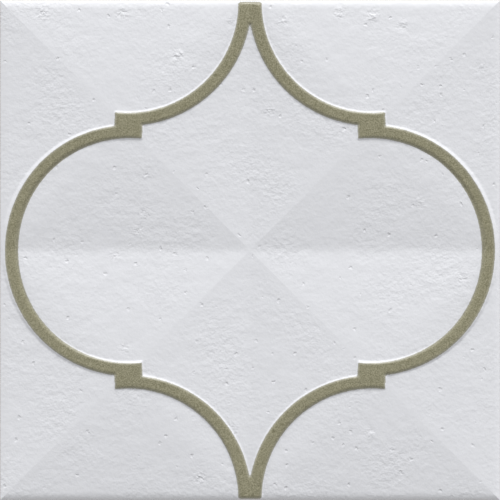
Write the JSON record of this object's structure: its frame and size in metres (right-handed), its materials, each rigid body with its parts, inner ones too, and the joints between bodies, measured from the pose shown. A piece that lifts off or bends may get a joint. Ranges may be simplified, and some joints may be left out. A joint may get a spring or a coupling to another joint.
{
  "type": "wall tile",
  "caption": "Square glazed ceramic wall tile with a white cushioned relief face and a raised khaki lantern outline, keyed on the back for adhesive bedding",
  "frame": {"origin": "centre of the back, on the plane that the tile is bedded on", "axes": "+Z out of the glazed face, +Y towards the upper side of the pattern, +X to the right as seen from the face"},
  "size_m": [0.2, 0.2, 0.0113],
  "materials": {
    "glazed_tile": "satin white glaze with a raised khaki glaze band, unglazed back"
  },
  "bodies": {
    "root": {"wall_tile": "glazed_tile"}
  },
  "joints": []
}
